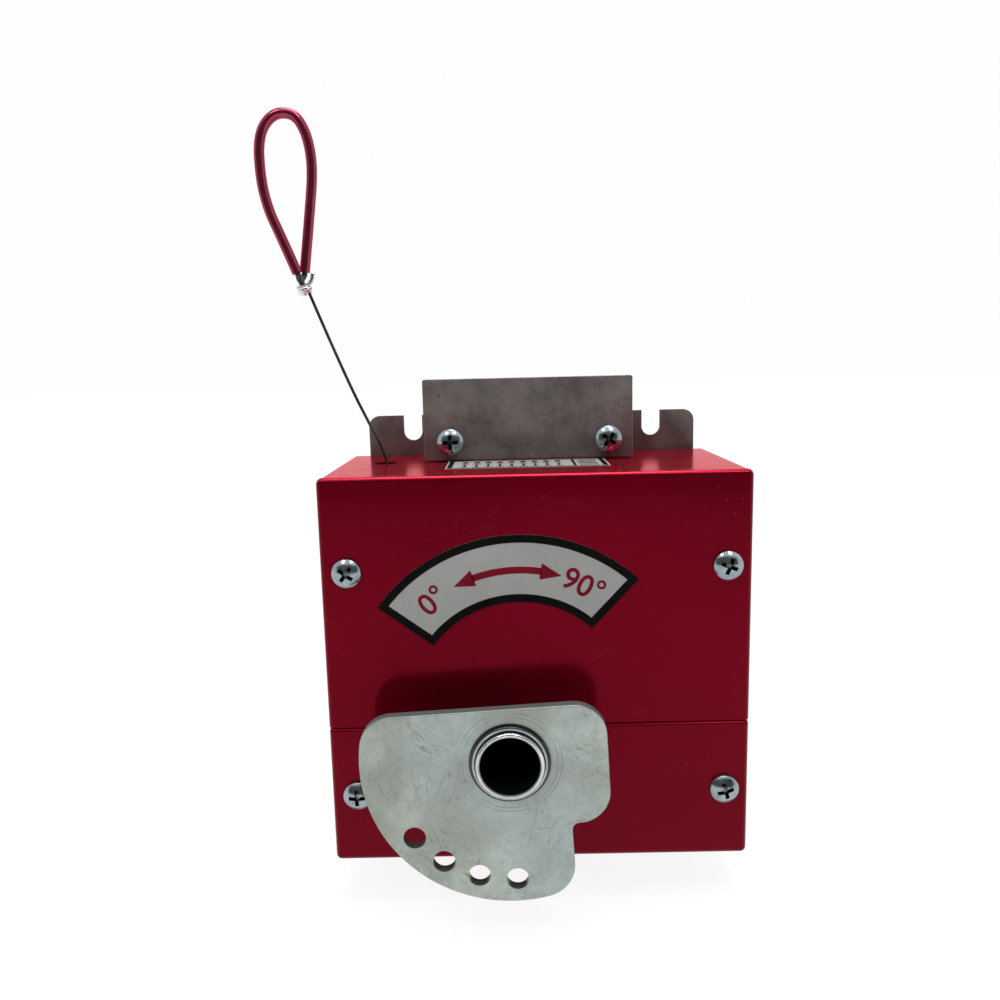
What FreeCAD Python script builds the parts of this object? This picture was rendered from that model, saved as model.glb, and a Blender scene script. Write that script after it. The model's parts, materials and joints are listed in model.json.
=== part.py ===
import FreeCAD, Part
import math
import os
import re

import Sketcher
from FreeCAD import Placement, Rotation, Vector

# Fire damper release box. Millimetres, +X to the right seen from the front, +Y towards the wall,
# +Z up. The origin is on the output shaft's axis in the plane of the wall.

doc = FreeCAD.newDocument("damper_release_box")
sheet = doc.addObject("Spreadsheet::Sheet", "dims")

DIMENSIONS = (
    # folded red box
    ("box_left", -50.2), ("box_right", 66.5), ("box_low", -36.4), ("box_high", 73.4),
    ("box_front", -58.6), ("cover_rear", -2.6), ("cover_steel", 1.2), ("cover_bend", 1.3),
    ("seam_high", 3.5), ("seam_low", 3.1), ("corner_inset", 1.7), ("corner_relief", 0.9), ("panel_corner", 1.6), ("seam_corner", 0.8),
    ("shaft_opening", 9.5), ("wire_hole_x", -35.8), ("wire_hole_radius", 3.4),
    ("cover_screw_left", -43.0), ("cover_screw_right", 59.8),
    ("cover_screw_low", -16.5), ("cover_screw_high", 47.6),
    # chassis: hat section with ears on the wall plane
    ("chassis_steel", 1.5), ("web_front", -23.0), ("web_left", -48.4), ("web_right", 64.7),
    ("flange_high", 72.0), ("flange_low", -35.0), ("ear_left", -44.0), ("ear_right", 62.4),
    ("ear_top", 86.3), ("ear_bottom", -49.3), ("ear_corner", 3.5),
    ("slot_left", -29.6), ("slot_right", 48.4), ("slot_width", 6.0), ("slot_centre", 81.1),
    ("lower_hole_centre", -43.6), ("lug_width", 12.0), ("lug_top", 84.0),
    ("lug_relief", 13.5), ("bracket_screw_left", -16.0), ("bracket_screw_right", 31.8),
    ("bracket_screw_height", 79.3),
    # bracket plate
    ("bracket_left", -24.0), ("bracket_right", 39.1), ("bracket_low", 73.7),
    ("bracket_high", 98.2), ("bracket_steel", 1.5), ("bracket_corner", 0.8),
    # output shaft and sector plate
    ("bore_radius", 7.75), ("shaft_radius", 9.0), ("shaft_nose", -77.2), ("nose_bevel", 0.6),
    ("clip_groove_rear", -11.7), ("clip_thickness", 1.2), ("clip_groove_radius", 8.6),
    ("clip_radius", 11.6), ("sector_rear", -71.6), ("sector_steel", 3.0), ("sector_radius", 39.4),
    ("sector_top", 14.5), ("sector_side", 25.7), ("notch_side", 15.2), ("notch_top", -18.2),
    ("sector_tilt", 2.9), ("corner_large", 8.5), ("corner_small", 9.0), ("notch_fillet", 1.8),
    ("link_radius", 3.0), ("link_circle", 32.85), ("link_first", 218.9), ("link_step", 17.88),
    ("boss_radius", 11.5), ("boss_length", 4.0), ("collar_radius", 10.3),
    ("collar_thickness", 1.2), ("collar_flat", 9.95),
    # bearings between web and bridge plate
    ("bush_clearance", 0.05), ("bush_radius", 11.0), ("bush_flange_radius", 13.5),
    ("bush_flange", 1.5), ("rear_bush_end", -14.1), ("bridge_front", -53.5),
    ("front_bush_end", -46.0), ("washer_radius", 13.0), ("washer_thickness", 1.0),
    ("spacer_radius", 3.5), ("spacer_bore", 2.1),
    ("bridge_left", -31.0), ("bridge_right", 31.5), ("bridge_upper_right", 35.5),
    ("bridge_low", -31.5), ("bridge_high_left", 49.0), ("bridge_high_right", 35.0),
    ("spacer_left", -26.0), ("spacer_right", 26.0), ("spacer_low", -26.5),
    ("spacer_upper_right", 30.5), ("spacer_high_left", 44.0), ("spacer_high_right", 30.5),
    # latch disc on the shaft
    ("disc_rear", -27.0), ("disc_steel", 3.0), ("disc_radius", 22.0), ("disc_hub_radius", 12.0),
    ("disc_hub_rear", -25.0), ("disc_hub_front", -31.0), ("lobe_radius", 2.5),
    ("lobe_offset", 23.0), ("stop_circle", 16.6), ("stop_slot_radius", 2.3),
    ("stop_pin_radius", 2.0), ("stop_angle", 225.0), ("travel", 90.0),
    ("notch_angle", 125.0), ("notch_bottom", 18.6),
    ("spring_pin_circle", 18.5), ("spring_pin_angle", 40.0), ("spring_pin_radius", 1.5),
    # torsion return spring
    ("spring_coil_radius", 14.2), ("spring_wire", 1.2), ("spring_rear", -33.2),
    ("spring_front", -44.0), ("spring_turns", 4.0),
    # latch lever
    ("lever_rear", -26.5), ("lever_steel", 3.0), ("nose_tip_x", -12.6), ("nose_tip_z", 19.6),
    ("nose_width", 2.0), ("nose_heel_x", -14.2), ("nose_heel_z", 22.2), ("pivot_x", 3.0), ("pivot_z", 31.0),
    ("pivot_radius", 2.0), ("lever_hub", 4.0), ("lever_arm", 3.2), ("wire_arm_z", 28.0),
    ("solenoid_arm_x", 20.0), ("solenoid_arm_z", 29.0),
    # pull wire and loop
    ("wire_x", -35.2), ("wire_y", -25.0), ("wire_radius", 0.5), ("sleeve_radius", 1.5),
    ("knot_radius", 2.1), ("ferrule_radius", 1.2), ("ferrule_low", 21.8),
    ("ferrule_high", 26.3),
    # solenoid
    ("solenoid_x", 20.0), ("solenoid_y", -35.0), ("solenoid_half", 12.0),
    ("solenoid_low", 39.5), ("solenoid_high", 69.5), ("solenoid_steel", 2.0),
    ("coil_radius", 9.5), ("plunger_radius", 4.0), ("plunger_bore", 4.4),
    ("push_rod_radius", 1.6), ("foot_low", 33.6), ("foot_high", 35.8),
    # limit switches
    ("switch_depth", 10.3), ("switch_wide", 15.9), ("switch_tall", 27.8),
    ("reset_switch_x", 29.0), ("reset_switch_low", -15.0), ("fired_switch_x", -29.0),
    ("fired_switch_low", -11.0), ("switch_lever_gap", 2.2), ("switch_lever_steel", 0.6),
    ("switch_lever_width", 5.0), ("switch_lever_length", 22.0), ("switch_pin_radius", 0.8),
    ("switch_lever_swing", 8.0),
    # terminal block and cable grommet
    ("block_left", 36.0), ("block_right", 63.0), ("block_low", 53.5), ("block_high", 68.9),
    ("block_front", -36.0), ("grommet_x", 50.0), ("grommet_y", -40.0),
    ("grommet_radius", 7.0), ("grommet_neck", 5.0), ("grommet_bore", 3.5),
    ("grommet_low", -38.6), ("grommet_high", -33.0),
    # screws
    ("head_radius", 4.0), ("head_height", 2.6), ("head_rim", 0.9), ("shank_radius", 2.0),
    ("recess_width", 1.1), ("recess_span", 4.6), ("recess_depth", 1.5),
    ("clear_radius", 2.2), ("shank_length", 8.0),
    ("small_head_radius", 2.8), ("small_head_height", 1.9), ("small_shank_radius", 1.45),
    # labels
    ("label_steel", 0.15), ("arc_label_x", 3.3), ("arc_label_z", 9.6), ("arc_label_outer", 47.6),
    ("arc_label_inner", 29.0), ("arc_label_start", 46.8), ("arc_label_span", 97.0),
    ("strip_left", -16.6), ("strip_right", 30.2), ("strip_front", -43.9), ("strip_rear", -25.7),
)
for row, (alias, value) in enumerate(DIMENSIONS, start=1):
    sheet.set("A%d" % row, alias)
    sheet.set("B%d" % row, str(value))
    sheet.setAlias("B%d" % row, alias)
doc.recompute()

SIZES = dict(DIMENSIONS)
NODES = []


FUNCTIONS = ("cos", "sin", "deg", "sqrt")


def formula(words):
    """Turn a formula in plain dimension names into one that reads the sheet."""
    def sheet_name(found):
        name = found.group(0)
        return name if name in FUNCTIONS else "dims." + name
    return re.sub(r"[a-z][a-z_]+", sheet_name, str(words))


def worth(words):
    """The number that a formula in dimension names comes to."""
    return float(sheet.evalExpression(formula(words)))


def bind(thing, **formulas):
    """Bind properties of an object to formulas; a double underscore stands for a dot."""
    for place, words in formulas.items():
        thing.setExpression(place.replace("__", "."), formula(words))


def node(thing, name):
    """Name a finished sub-part and keep it for the export."""
    thing.Label = name
    NODES.append(thing)
    return thing


# Part primitives, each bound to the sheet

def block(x, y, z):
    """A box between two formulas along each axis."""
    thing = doc.addObject("Part::Box", "block")
    bind(thing, Length="(%s) - (%s)" % (x[1], x[0]), Width="(%s) - (%s)" % (y[1], y[0]),
         Height="(%s) - (%s)" % (z[1], z[0]), Placement__Base__x=x[0],
         Placement__Base__y=y[0], Placement__Base__z=z[0])
    return thing


def rod(radius, rear, front, x="0", z="0", start=0.0, span="360"):
    """A cylinder along Y from its rear end to its front end, or a sector of one."""
    thing = doc.addObject("Part::Cylinder", "rod")
    thing.Placement.Rotation = Rotation(Vector(1, 0, 0), 90) * Rotation(Vector(0, 0, 1), start)
    bind(thing, Radius=radius, Height="(%s) - (%s)" % (rear, front), Angle=span,
         Placement__Base__x=x, Placement__Base__y=rear, Placement__Base__z=z)
    return thing


def post(radius, low, high, x, y):
    """A cylinder along Z."""
    thing = doc.addObject("Part::Cylinder", "post")
    bind(thing, Radius=radius, Height="(%s) - (%s)" % (high, low),
         Placement__Base__x=x, Placement__Base__y=y, Placement__Base__z=low)
    return thing


def fuse(*things):
    joined = doc.addObject("Part::MultiFuse", "joined")
    joined.Shapes = list(things)
    joined.Refine = True
    return joined


def cut(base, *tools):
    result = doc.addObject("Part::Cut", "cut")
    result.Base = base
    result.Tool = tools[0] if len(tools) == 1 else fuse(*tools)
    result.Refine = True
    return result


def group(*things):
    """Separate solids that share one node."""
    together = doc.addObject("Part::Compound", "group")
    together.Links = list(things)
    return together


def ring(outer, inner, rear, front, x="0", z="0"):
    return cut(rod(outer, rear, front, x, z), rod(inner, rear, front, x, z))


def edges_where(shape, test):
    """Numbers of the edges whose middle point and direction pass the test."""
    found = []
    for number, edge in enumerate(shape.Edges, start=1):
        middle = edge.valueAt((edge.FirstParameter + edge.LastParameter) / 2)
        along = (edge.Vertexes[-1].Point - edge.Vertexes[0].Point)
        if test(middle, along, edge):
            found.append(number)
    return found


def rounded(base, radius, test):
    """Part fillet on the edges that pass the test."""
    doc.recompute()
    result = doc.addObject("Part::Fillet", "rounded")
    result.Base = base
    numbers = edges_where(base.Shape, test)
    result.Edges = [(number, worth(radius), worth(radius)) for number in numbers]
    doc.recompute()
    return result


# PartDesign bodies drawn in the front view: sketch x is X, sketch y is Z

def body_named(name):
    return doc.addObject("PartDesign::Body", name)


def sketch_at(body, level, role="XZ_Plane"):
    """A sketch on a plane of the body's own origin, moved along its normal to the level."""
    plane = [part for part in body.Origin.OriginFeatures if part.Role == role][0]
    sketch = body.newObject("Sketcher::SketchObject", "outline")
    sketch.AttachmentSupport = (plane, [""])
    sketch.MapMode = "FlatFace"
    sign = "-1" if role == "XZ_Plane" else "1"
    bind(sketch, AttachmentOffset__Base__z="%s * (%s)" % (sign, level))
    return sketch


def fix_point(sketch, shape_number, point_number, place):
    """Hold a sketch point at a pair of formulas measured from the sketch's origin."""
    for kind, words in zip(("DistanceX", "DistanceY"), place):
        value = worth(words)
        if abs(value) < 1e-9:
            axis = -2 if kind == "DistanceX" else -1
            sketch.addConstraint(
                Sketcher.Constraint("PointOnObject", shape_number, point_number, axis))
            continue
        number = sketch.addConstraint(
            Sketcher.Constraint(kind, -1, 1, shape_number, point_number, value))
        sketch.setExpression("Constraints[%d]" % number, formula(words))


def draw_polygon(sketch, corners):
    first = sketch.GeometryCount
    count = len(corners)
    places = [Vector(worth(across), worth(up), 0) for across, up in corners]
    for number in range(count):
        sketch.addGeometry(Part.LineSegment(places[number], places[(number + 1) % count]))
    for number in range(count):
        following = first + (number + 1) % count
        sketch.addConstraint(Sketcher.Constraint("Coincident", first + number, 2, following, 1))
    for number, corner in enumerate(corners):
        fix_point(sketch, first + number, 1, corner)


def draw_box(sketch, left, right, low, high):
    draw_polygon(sketch, ((left, low), (right, low), (right, high), (left, high)))


def draw_circle(sketch, radius, across="0", up="0"):
    number = sketch.GeometryCount
    centre = Vector(worth(across), worth(up), 0)
    sketch.addGeometry(Part.Circle(centre, Vector(0, 0, 1), worth(radius)))
    fix_point(sketch, number, 3, (across, up))
    held = sketch.addConstraint(Sketcher.Constraint("Radius", number, worth(radius)))
    sketch.setExpression("Constraints[%d]" % held, formula(radius))


def pad(body, sketch, length):
    """Add material from the sketch towards the front of the box."""
    feature = body.newObject("PartDesign::Pad", "pad")
    feature.Profile = sketch
    bind(feature, Length=length)
    doc.recompute()
    return feature


def pocket(body, sketch, length="400", both_ways=True):
    """Cut the sketch out of the body, both ways through it or only towards the front."""
    before = body.Shape.Volume
    feature = body.newObject("PartDesign::Pocket", "pocket")
    feature.Profile = sketch
    if both_ways:
        feature.Midplane = True
    else:
        feature.Reversed = True
    bind(feature, Length=length)
    doc.recompute()
    if not body.Shape.Volume < before:
        raise RuntimeError(body.Label + ": a pocket cut nothing")
    return feature


def fillet(body, radius, test):
    """PartDesign fillet on the edges of the body's tip that pass the test."""
    doc.recompute()
    base = body.Tip
    numbers = edges_where(base.Shape, test)
    feature = body.newObject("PartDesign::Fillet", "fillet")
    feature.Base = (base, ["Edge%d" % number for number in numbers])
    bind(feature, Radius=radius)
    doc.recompute()
    if "Invalid" in feature.State:
        raise RuntimeError("%s: fillet of %s failed" % (body.Label, radius))
    return feature


def along_y(middle, along, edge):
    return abs(along.y) > 0.9 * along.Length and along.Length > 0.1


def corner_at(*places):
    """Test for edges along Y that pass through one of the given front-view points."""
    points = [(worth(across), worth(up)) for across, up in places]

    def test(middle, along, edge):
        if not along_y(middle, along, edge):
            return False
        return any(math.hypot(middle.x - a, middle.z - b) < 0.2 for a, b in points)
    return test


def on_front(level):
    """Test for edges that lie in the plane at this Y."""
    here = worth(level)

    def test(middle, along, edge):
        return abs(middle.y - here) < 1e-4 and abs(along.y) < 1e-6
    return test


def polar(radius, angle):
    """Formulas for a front-view point at a radius and an angle from +X towards +Z."""
    return ("(%s) * cos((%s) * 1deg)" % (radius, angle), "(%s) * sin((%s) * 1deg)" % (radius, angle))


# ---- chassis and what stands on it ----

PILLARS = [(across, up) for across in ("cover_screw_left", "cover_screw_right")
           for up in ("cover_screw_low", "cover_screw_high")]
SPACERS = [("spacer_left", "spacer_low"), ("spacer_right", "spacer_low"),
           ("spacer_left", "spacer_high_left"), ("spacer_upper_right", "spacer_high_right")]
SWITCH_SCREWS = [(x, low + " + %s" % rise)
                 for x, low in (("reset_switch_x + 10", "reset_switch_low"),
                                ("fired_switch_x - 10", "fired_switch_low"))
                 for rise in ("3", "switch_tall - 3")]
SOLENOID_SCREWS = [("solenoid_x", "solenoid_low + 8"), ("solenoid_x", "solenoid_high - 8")]


def make_chassis():
    steel = "chassis_steel"
    web_rear = "web_front + chassis_steel"
    web = block(("web_left", "web_right"), ("web_front", web_rear), ("flange_low", "flange_high"))
    pieces = [web]
    for low, high in (("flange_high - " + steel, "flange_high"),
                      ("flange_low", "flange_low + " + steel)):
        pieces.append(block(("ear_left", "ear_right"), (web_rear, "0"), (low, high)))
    ears = rounded(
        block(("ear_left", "ear_right"), ("-" + steel, "0"), ("ear_bottom", "ear_top")),
        "ear_corner", along_y)
    gap = block(("ear_left - 1", "ear_right + 1"), ("-20", "20"),
                ("flange_low + " + steel, "flange_high - " + steel))
    pieces.append(cut(ears, gap))
    openings = [rod("bush_radius", "0", "-40"),
                rod("pivot_radius", "0", "-40", "pivot_x", "pivot_z")]
    for middle in ("bracket_screw_left", "bracket_screw_right"):
        left = "%s - lug_width / 2" % middle
        right = "%s + lug_width / 2" % middle
        pieces.append(block((left, right), ("web_front", web_rear), ("flange_high - 5", "lug_top")))
        openings.append(block((left + " - 0.5", right + " + 0.5"),
                              (web_rear, web_rear + " + lug_relief"),
                              ("flange_high - 4", "flange_high + 1")))
        openings.append(rod("spacer_bore", "-15", "-30", middle, "bracket_screw_height"))
    for middle in ("slot_left", "slot_right"):
        openings.append(rod("slot_width / 2", "20", "-20", middle, "slot_centre"))
        openings.append(block((middle + " - slot_width / 2", middle + " + slot_width / 2"),
                              ("-20", "20"), ("slot_centre", "ear_top + 5")))
        openings.append(rod("slot_width / 2", "20", "-20", middle, "lower_hole_centre"))
    for across, up in PILLARS + SPACERS:
        openings.append(rod("clear_radius", "-15", "-30", across, up))
    for across, up in SWITCH_SCREWS:
        openings.append(rod("small_shank_radius + 0.15", "-15", "-30", across, up))
    for across, up in SOLENOID_SCREWS:
        openings.append(rod("small_shank_radius + 0.15", "-15", "-30", across, up))
    solid = cut(fuse(*pieces), *openings)

    def bend_edge(middle, along, edge):
        outer = abs(middle.y) < 1e-3 and abs(middle.z - worth("flange_high - " + steel)) < 1e-3
        inner = abs(middle.y + worth(steel)) < 1e-3 and abs(middle.z - worth("flange_high")) < 1e-3
        return abs(along.x) > 5.0 and (outer or inner)
    return node(rounded(solid, "0.9", bend_edge), "chassis")


def screw(length, head=("head_radius", "head_height"), shank="shank_radius"):
    """One cross-recess pan head screw along Y, its head's underside at y = 0, head to the front."""
    head_radius, head_height = head
    # the dome is a ball that meets the head's side at the rim height
    rim = "head_rim * %s / head_height" % head_height
    rise = "(%s - %s)" % (head_height, rim)
    ball_radius = "((%s) ^ 2 + %s ^ 2) / (2 * %s)" % (head_radius, rise, rise)
    ball = doc.addObject("Part::Sphere", "ball")
    bind(ball, Radius=ball_radius, Placement__Base__y="%s - %s" % (ball_radius, head_height))
    dome = doc.addObject("Part::MultiCommon", "dome")
    dome.Shapes = [rod(head_radius, "0", "-(%s)" % head_height), ball]
    cap = rounded(dome, "0.25", lambda middle, along, edge: edge.isClosed()
                  and abs(middle.y + worth(rim)) < 0.05)
    stem = rod(shank, length, "-0.5")
    scale = "(%s) / head_radius" % head_radius
    half_span = "recess_span * %s / 2" % scale
    half_width = "recess_width * %s / 2" % scale
    top = "-(%s) - 1" % head_height
    floor = "-(%s) + recess_depth * %s" % (head_height, scale)
    slots = [block(("-" + across, across), (top, floor), ("-" + up, up))
             for across, up in ((half_span, half_width), (half_width, half_span))]
    doc.recompute()
    return cut(fuse(cap, stem), *slots)


def placed_copies(master, name, places, turn=(0.0, 0.0, 1.0, 0.0)):
    """The master's shape at each place, as separate solids in one node."""
    doc.recompute()
    solids = []
    for number, (across, depth, up) in enumerate(places):
        copy = master.Shape.copy()
        axis = Vector(*turn[:3])
        spin = Rotation(Vector(0, 1, 0), 37.0 * number)
        copy.Placement = Placement(Vector(worth(across), worth(depth), worth(up)),
                                   Rotation(axis, turn[3]) * spin)
        solids.append(copy)
    holder = doc.addObject("Part::Feature", name)
    holder.Shape = Part.makeCompound(solids)
    return node(holder, name)


def make_supports():
    pillars = [ring("head_radius", "spacer_bore", "web_front", "box_front + cover_steel", *place)
               for place in PILLARS]
    node(group(*pillars), "cover_pillars")
    spacers = [ring("spacer_radius", "spacer_bore", "web_front", "bridge_front + chassis_steel",
                    *place) for place in SPACERS]
    node(group(*spacers), "bridge_spacers")


def make_bracket_plate():
    body = body_named("bracket")
    sketch = sketch_at(body, "web_front")
    draw_box(sketch, "bracket_left", "bracket_right", "bracket_low", "bracket_high")
    pad(body, sketch, "bracket_steel")
    holes = sketch_at(body, "web_front")
    for middle in ("bracket_screw_left", "bracket_screw_right"):
        draw_circle(holes, "clear_radius", middle, "bracket_screw_height")
    pocket(body, holes)
    fillet(body, "bracket_corner", corner_at(*[(x, z) for x in ("bracket_left", "bracket_right")
                                               for z in ("bracket_low", "bracket_high")]))
    fillet(body, "0.2", on_front("web_front - bracket_steel"))
    return node(body, "bracket_plate")


def make_bridge_plate():
    body = body_named("bridge")
    rear = "bridge_front + chassis_steel"
    sketch = sketch_at(body, rear)
    corners = (("bridge_left", "bridge_low"), ("bridge_right", "bridge_low"),
               ("bridge_upper_right", "bridge_high_right"), ("bridge_left", "bridge_high_left"))
    draw_polygon(sketch, corners)
    pad(body, sketch, "chassis_steel")
    fillet(body, "4", corner_at(*corners))
    holes = sketch_at(body, rear)
    draw_circle(holes, "bush_radius")
    for across, up in SPACERS:
        draw_circle(holes, "clear_radius", across, up)
    pocket(body, holes)
    return node(body, "bridge_plate")


def make_bearings():
    inner = "shaft_radius + bush_clearance"
    rear = cut(fuse(rod("bush_flange_radius", "web_front", "web_front - bush_flange"),
                    rod("bush_radius", "rear_bush_end", "web_front")),
               rod(inner, "0", "-40"))
    node(rear, "rear_bush")
    front = cut(fuse(rod("bush_flange_radius", "bridge_front", "bridge_front - bush_flange"),
                     rod("bush_radius", "front_bush_end", "bridge_front")),
                rod(inner, "-40", "-60"))
    node(front, "front_bush")
    washer_rear = "rear_bush_end + washer_thickness"
    node(ring("washer_radius", "shaft_radius + 0.3", washer_rear, "rear_bush_end"),
         "thrust_washer")


# ---- folded covers ----

def folded_cover(name, low, high, closed_edge):
    """A folded pan: front panel, two side flanges and one flange along the closed edge."""
    body = body_named(name)
    outline = sketch_at(body, "cover_rear")
    draw_box(outline, "box_left", "box_right", low, high)
    pad(body, outline, "cover_rear - box_front")
    fillet(body, "panel_corner", corner_at(("box_left", closed_edge), ("box_right", closed_edge)))
    outer_z = worth(closed_edge)
    sides = (worth("box_left"), worth("box_right"))

    def front_bend(middle, along, edge):
        if abs(middle.y - worth("box_front")) > 1e-4:
            return False
        at_side = min(abs(middle.x - side) for side in sides) < 1.0
        return at_side or abs(middle.z - outer_z) < 1.0
    fillet(body, "cover_bend", front_bend)
    inside = sketch_at(body, "cover_rear")
    inner_low, inner_high = low + " - 2", high + " + 2"
    if closed_edge == "box_high":
        inner_high = "box_high - cover_steel"
    else:
        inner_low = "box_low + cover_steel"
    draw_box(inside, "box_left + cover_steel", "box_right - cover_steel", inner_low, inner_high)
    pocket(body, inside, "cover_rear - box_front - cover_steel", both_ways=False)
    holes = sketch_at(body, "cover_rear")
    draw_circle(holes, "shaft_opening")
    up = "cover_screw_high" if closed_edge == "box_high" else "cover_screw_low"
    for across in ("cover_screw_left", "cover_screw_right"):
        draw_circle(holes, "clear_radius", across, up)
    pocket(body, holes)
    return body


def open_corners(body, low, high):
    """Open bend corners: the closing flange ends short of the side flanges, up to the front bend."""
    seams = sketch_at(body, "cover_rear")
    draw_box(seams, "box_left - 1", "box_left + corner_inset", low, high)
    draw_box(seams, "box_right - corner_inset", "box_right + 1", low, high)
    pocket(body, seams, "cover_rear - box_front - cover_bend - corner_relief", both_ways=False)


def make_covers():
    upper = folded_cover("upper", "seam_high", "box_high", "box_high")
    openings = sketch_at(upper, "box_high", "XY_Plane")
    draw_circle(openings, "wire_hole_radius", "wire_hole_x", "wire_y")
    for middle in ("bracket_screw_left", "bracket_screw_right"):
        draw_box(openings, middle + " - lug_width / 2 - 0.5", middle + " + lug_width / 2 + 0.5",
                 "web_front - 0.5", "web_front + chassis_steel + 0.5")
    pocket(upper, openings, "10")
    open_corners(upper, "box_high - cover_steel - 0.1", "box_high + 1")
    node(upper, "upper_cover")
    lower = folded_cover("lower", "box_low", "seam_low", "box_low")
    openings = sketch_at(lower, "box_low", "XY_Plane")
    draw_circle(openings, "grommet_neck + 0.1", "grommet_x", "grommet_y")
    pocket(lower, openings, "10")
    open_corners(lower, "box_low - 1", "box_low + cover_steel + 0.1")
    fillet(lower, "seam_corner", corner_at(("box_left", "seam_low"), ("box_right", "seam_low")))
    node(lower, "lower_cover")


def make_labels():
    outer = rod("arc_label_outer", "box_front", "box_front - label_steel", "arc_label_x",
                "arc_label_z", SIZES["arc_label_start"], "arc_label_span")
    inner = rod("arc_label_inner", "box_front", "box_front - label_steel", "arc_label_x",
                "arc_label_z")
    node(cut(outer, inner), "arc_label")
    node(block(("strip_left", "strip_right"), ("strip_front", "strip_rear"),
               ("box_high", "box_high + label_steel")), "strip_label")


# ---- output shaft and what turns with it ----

def make_shaft():
    tube = rod("shaft_radius", "0", "shaft_nose")
    groove = ring("shaft_radius + 1", "clip_groove_radius",
                  "clip_groove_rear", "clip_groove_rear - clip_thickness")
    bored = cut(tube, rod("bore_radius", "1", "shaft_nose - 1"), groove)

    def nose_edge(middle, along, edge):
        return abs(middle.y - worth("shaft_nose")) < 1e-4
    node(rounded(bored, "nose_bevel * 0.9", nose_edge), "output_shaft")
    clip = ring("clip_radius", "clip_groove_radius", "clip_groove_rear - 0.05",
                "clip_groove_rear - clip_thickness + 0.05")
    gap = block(("-4", "4"), ("clip_groove_rear - 5", "clip_groove_rear + 5"), ("-20", "0"))
    node(cut(clip, gap), "shaft_circlip")
    node(ring("boss_radius", "shaft_radius", "sector_rear + boss_length", "sector_rear"),
         "sector_boss")


def make_collar():
    rear = "sector_rear - sector_steel"
    front = rear + " - collar_thickness"
    collar = cut(rod("collar_radius", rear, front), rod("shaft_radius", rear, front))
    flats = []
    for turn in (-20, 160):
        flat = doc.addObject("Part::Box", "flat")
        flat.Placement.Rotation = Rotation(Vector(0, 1, 0), turn)
        flat.Placement.Base = (Rotation(Vector(0, 1, 0), turn).multVec(
            Vector(worth("collar_flat"), worth(front + " - 1"), -10)))
        bind(flat, Length="5", Width="collar_thickness + 2", Height="20")
        flats.append(flat)
    solid = cut(collar, *flats)

    def rim(middle, along, edge):
        far = math.hypot(middle.x, middle.z) > worth("shaft_radius + 0.3")
        return far and abs(middle.y - worth(front)) < 1e-4
    node(rounded(solid, "0.3", rim), "hub_collar")


def make_sector_plate():
    body = body_named("sector")
    disc = sketch_at(body, "sector_rear")
    draw_circle(disc, "sector_radius")
    pad(body, disc, "sector_steel")
    above = sketch_at(body, "sector_rear")
    draw_box(above, "-sector_radius - 5", "sector_radius + 5", "sector_top", "sector_radius + 5")
    pocket(body, above)
    beside = sketch_at(body, "sector_rear")
    draw_polygon(beside, (("sector_side", "notch_top"), ("notch_side", "notch_top"),
                          ("notch_side", "-sector_radius - 5"),
                          ("sector_radius + 5", "-sector_radius - 5"),
                          ("sector_radius + 5", "sector_top + 5"),
                          ("sector_side", "sector_top + 5")))
    pocket(body, beside)
    left_end = "-sqrt(sector_radius ^ 2 - sector_top ^ 2)"
    fillet(body, "corner_large", corner_at(
        (left_end, "sector_top"), ("sector_side", "sector_top"), ("sector_side", "notch_top")))
    fillet(body, "corner_small", corner_at(
        ("notch_side", "-sqrt(sector_radius ^ 2 - notch_side ^ 2)")))
    fillet(body, "notch_fillet", corner_at(("notch_side", "notch_top")))
    holes = sketch_at(body, "sector_rear")
    draw_circle(holes, "shaft_radius")
    for number in range(4):
        angle = "link_first - sector_tilt + %d * link_step" % number
        draw_circle(holes, "link_radius", *polar("link_circle", angle))
    pocket(body, holes)
    front = worth("sector_rear - sector_steel")

    def outer_rim(middle, along, edge):
        return abs(middle.y - front) < 1e-4 and abs(along.y) < 1e-6 and not edge.isClosed()
    fillet(body, "0.35", outer_rim)
    body.Placement = Placement(Vector(0, 0, 0), Rotation(Vector(0, 1, 0), -worth("sector_tilt")))
    return node(body, "sector_plate")


def make_latch_disc():
    plate = ("disc_rear", "disc_rear - disc_steel")
    pieces = [rod("disc_radius", *plate), rod("disc_hub_radius", "disc_hub_rear", "disc_hub_front")]
    for angle in ("0", "270"):
        pieces.append(rod("lobe_radius", *plate, *polar("lobe_offset", angle)))
    slot_end = "stop_angle + travel"
    slot = cut(rod("stop_circle + stop_slot_radius", "0", "-50", start=SIZES["stop_angle"],
                   span="travel"),
               rod("stop_circle - stop_slot_radius", "0", "-50"))
    step = cut(rod("disc_radius + 1", "0", "-50", start=SIZES["notch_angle"] - 24, span="24"),
               rod("notch_bottom", "0", "-50"))
    holes = [slot, step, rod("shaft_radius", "0", "-50"),
             rod("stop_slot_radius", "0", "-50", *polar("stop_circle", "stop_angle")),
             rod("stop_slot_radius", "0", "-50", *polar("stop_circle", slot_end)),
             rod("spring_pin_radius", "0", "-50", *polar("spring_pin_circle",
                                                         "spring_pin_angle"))]
    node(cut(fuse(*pieces), *holes), "latch_disc")
    node(rod("spring_pin_radius", "disc_rear", "disc_rear - 9",
             *polar("spring_pin_circle", "spring_pin_angle")), "disc_spring_pin")
    node(rod("stop_pin_radius", "web_front", "disc_hub_front",
             *polar("stop_circle", "stop_angle")), "stop_pin")


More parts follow.
